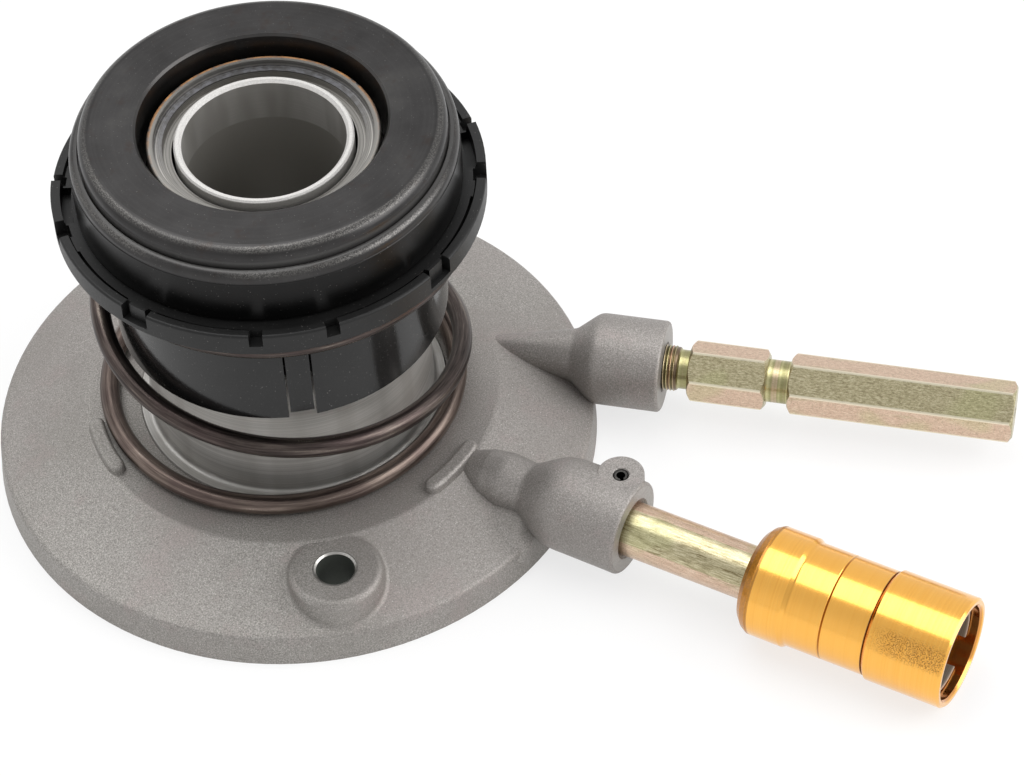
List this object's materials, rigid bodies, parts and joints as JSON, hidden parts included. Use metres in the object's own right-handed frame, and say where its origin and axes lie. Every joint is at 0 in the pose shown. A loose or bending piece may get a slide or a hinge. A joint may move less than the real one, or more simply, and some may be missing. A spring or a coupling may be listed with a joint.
{
  "type": "clutch slave cylinder",
  "caption": "Concentric clutch slave cylinder: cast base and cylinder, sprung dust cover with release bearing, supply tube with quick coupling, and long bleed screw.",
  "frame": {"origin": "on the gearbox axis, in the plane of the mounting face", "axes": "+Z along the gearbox axis, from the mounting face towards the clutch; the two mounting holes lie on the Y axis; the ports point towards +X and -Y"},
  "size_m": [0.2259, 0.1842, 0.0974],
  "materials": {
    "cast_aluminium": "bead-blasted casting, bright where it is turned",
    "sleeve_steel": "ground",
    "carrier_steel": "dull, with rust on its outer edge",
    "piston_aluminium": "turned",
    "bearing_steel": "satin, worn bright on its shoulders",
    "ball_steel": "polished",
    "ring_steel": "dark, oiled",
    "clip_steel": "satin",
    "spring_steel": "bronze-brown drawn wire",
    "yellow_plating": "yellow zinc plating",
    "gold_anodising": "turned and anodised",
    "black_plastic": "moulded",
    "slide_band": "plain",
    "seal_rubber": "plain"
  },
  "bodies": {
    "base": {"housing": "cast_aluminium", "guide_sleeve": "sleeve_steel", "sleeve_o_ring": "seal_rubber", "sleeve_snap_ring": "ring_steel", "stop_ring": "ring_steel", "return_spring": "spring_steel", "supply_tube": "yellow_plating", "tube_o_ring": "seal_rubber", "spring_pin": "ring_steel", "coupling_body": "gold_anodising", "coupling_nose": "gold_anodising", "coupling_clip": "clip_steel", "coupling_o_ring": "seal_rubber", "coupling_valve_spring": "clip_steel"},
    "piston_and_cover": {"piston": "piston_aluminium", "piston_seal": "seal_rubber", "piston_guide_ring": "slide_band", "piston_wiper": "seal_rubber", "carrier_sleeve": "carrier_steel", "carrier_snap_ring": "ring_steel", "dust_cover": "black_plastic", "bearing_outer_ring": "bearing_steel", "bearing_shield": "carrier_steel"},
    "thrust_bearing": {"thrust_ring": "bearing_steel"},
    "balls_and_cage": {"bearing_balls": "ball_steel", "ball_cage": "slide_band"},
    "bleed": {"bleed_screw": "yellow_plating"},
    "valve": {"coupling_valve": "clip_steel"}
  },
  "joints": [
    {"name": "piston_stroke", "type": "slide", "parent": "base", "child": "piston_and_cover", "axis": [0, 0, 1], "range_m": [-0.018, 0], "stiffness_N_per_m": 2000, "springref_m": 0.02, "deforming": ["return_spring"]},
    {"name": "thrust_spin", "type": "hinge", "parent": "piston_and_cover", "child": "thrust_bearing", "pos_m": [0, 0, 0.0868], "axis": [0, 0, 1], "continuous": true},
    {"name": "cage_spin", "type": "hinge", "parent": "piston_and_cover", "child": "balls_and_cage", "pos_m": [0, 0, 0.0868], "axis": [0, 0, 1], "continuous": true},
    {"name": "bleed_turn", "type": "hinge", "parent": "base", "child": "bleed", "pos_m": [0.09139, -0.01571, 0.0126], "axis": [0.9157, -0.4019, 0], "range_deg": [0, 270]},
    {"name": "valve_stroke", "type": "slide", "parent": "base", "child": "valve", "axis": [0.7683, -0.6401, 0], "range_m": [-0.004, 0], "stiffness_N_per_m": 1000, "springref_m": 0.004, "deforming": ["coupling_valve_spring"]}
  ],
  "couplings": [
    {"joint": "cage_spin", "follows": "thrust_spin", "ratio": 0.4541}
  ]
}
